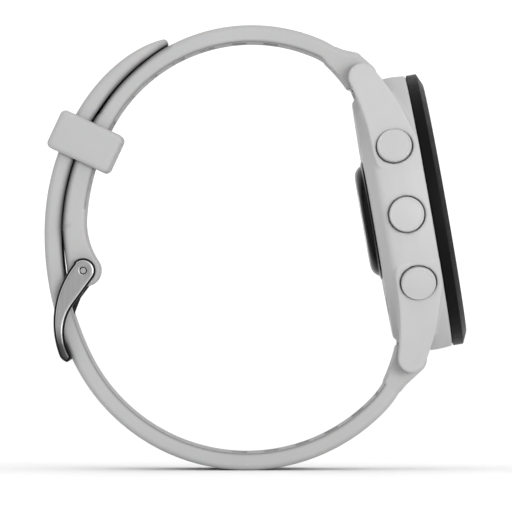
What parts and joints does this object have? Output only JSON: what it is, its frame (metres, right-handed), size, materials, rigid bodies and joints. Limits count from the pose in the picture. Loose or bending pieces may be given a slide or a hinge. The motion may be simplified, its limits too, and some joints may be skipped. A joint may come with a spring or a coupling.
{
  "type": "gps running watch",
  "caption": "Round sports watch with side push buttons, a dark bezel, a raised wrist sensor and a buckled silicone strap closed to a loop.",
  "frame": {"origin": "centre of the opening that the wrist fills, on the middle plane between the strap's edges", "axes": "+X from the wrist out through the display, +Y towards 3 o'clock along the spring bars, +Z towards 12 o'clock; the display faces +X, leaning 10 degrees up"},
  "size_m": [0.066, 0.0442, 0.0695],
  "materials": {
    "case_shell": "satin fibre-filled polymer",
    "back_shell": "satin",
    "dark_seal": "matt",
    "small_steel": "satin",
    "sensor_black": "gloss",
    "sensor_window": "gloss",
    "board_green": "satin solder mask",
    "light_emitter": "gloss",
    "contact_gold": "polished",
    "battery_foil": "satin",
    "chip_black": "matt",
    "switch_body": "satin",
    "beeper_brass": "satin",
    "antenna_copper": "satin",
    "inner_polymer": "matt",
    "display_face": "gloss",
    "bezel_black": "satin",
    "front_lens": "gloss",
    "button_cap": "satin",
    "bar_steel": "satin",
    "strap_silicone": "matt soft-touch",
    "buckle_steel": "satin dark"
  },
  "bodies": {
    "case": {"case_body": "case_shell", "back_cover": "back_shell", "back_gasket": "dark_seal", "back_screws": "small_steel", "sensor_cover": "sensor_black", "sensor_windows": "sensor_window", "sensor_board": "board_green", "sensor_lights": "light_emitter", "charge_contacts": "contact_gold", "battery": "battery_foil", "main_board": "board_green", "board_chips": "chip_black", "button_switches": "switch_body", "vibration_motor": "small_steel", "beeper": "beeper_brass", "gps_antenna": "antenna_copper", "inner_frame": "inner_polymer", "display_panel": "display_face", "bezel": "bezel_black", "display_lens": "front_lens", "button_seals": "dark_seal", "bar_tube_12": "bar_steel", "bar_spring_12": "small_steel", "bar_tube_6": "bar_steel", "bar_spring_6": "small_steel", "strap_12": "strap_silicone", "strap_6": "strap_silicone", "buckle_pin": "buckle_steel"},
    "light_key": {"light_button": "button_cap", "light_clip": "small_steel"},
    "up_key": {"up_button": "button_cap", "up_clip": "small_steel"},
    "down_key": {"down_button": "button_cap", "down_clip": "small_steel"},
    "start_key": {"start_button": "button_cap", "start_clip": "small_steel"},
    "back_key": {"back_button": "button_cap", "back_clip": "small_steel"},
    "release_12": {"bar_knob_12": "bar_steel"},
    "release_6": {"bar_knob_6": "bar_steel"},
    "keeper_loop": {"keeper": "strap_silicone"},
    "buckle": {"buckle_frame": "buckle_steel"},
    "prong": {"buckle_prong": "buckle_steel"}
  },
  "joints": [
    {"name": "light_press", "type": "slide", "parent": "case", "child": "light_key", "axis": [0.0642, 0.9291, -0.3642], "range_m": [0, 0.0005], "stiffness_N_per_m": 3000, "springref_m": -0.0003},
    {"name": "up_press", "type": "slide", "parent": "case", "child": "up_key", "axis": [0, 1, 0], "range_m": [0, 0.0005], "stiffness_N_per_m": 3000, "springref_m": -0.0003},
    {"name": "down_press", "type": "slide", "parent": "case", "child": "down_key", "axis": [-0.0642, 0.9291, 0.3642], "range_m": [0, 0.0005], "stiffness_N_per_m": 3000, "springref_m": -0.0003},
    {"name": "start_press", "type": "slide", "parent": "case", "child": "start_key", "axis": [0.0642, -0.9291, -0.3642], "range_m": [0, 0.0005], "stiffness_N_per_m": 3000, "springref_m": -0.0003},
    {"name": "back_press", "type": "slide", "parent": "case", "child": "back_key", "axis": [-0.0642, -0.9291, 0.3642], "range_m": [0, 0.0005], "stiffness_N_per_m": 3000, "springref_m": -0.0003},
    {"name": "release_12_slide", "type": "slide", "parent": "case", "child": "release_12", "axis": [0, 1, 0], "range_m": [0, 0.0012], "stiffness_N_per_m": 800, "springref_m": -0.001, "deforming": ["bar_spring_12"]},
    {"name": "release_6_slide", "type": "slide", "parent": "case", "child": "release_6", "axis": [0, 1, 0], "range_m": [0, 0.0012], "stiffness_N_per_m": 800, "springref_m": -0.001, "deforming": ["bar_spring_6"]},
    {"name": "keeper_slide", "type": "hinge", "parent": "case", "child": "keeper_loop", "pos_m": [0.01194, 0, 0.00266], "axis": [0, 1, 0], "range_deg": [-11, 14]},
    {"name": "buckle_swing", "type": "hinge", "parent": "case", "child": "buckle", "pos_m": [-0.02273, 0, -0.00333], "axis": [0, 1, 0], "range_deg": [0, 3]},
    {"name": "prong_swing", "type": "hinge", "parent": "case", "child": "prong", "pos_m": [-0.02273, 0, -0.00333], "axis": [0, 1, 0], "range_deg": [0, 3]}
  ],
  "couplings": [
    {"joint": "prong_swing", "follows": "buckle_swing", "ratio": 1}
  ]
}
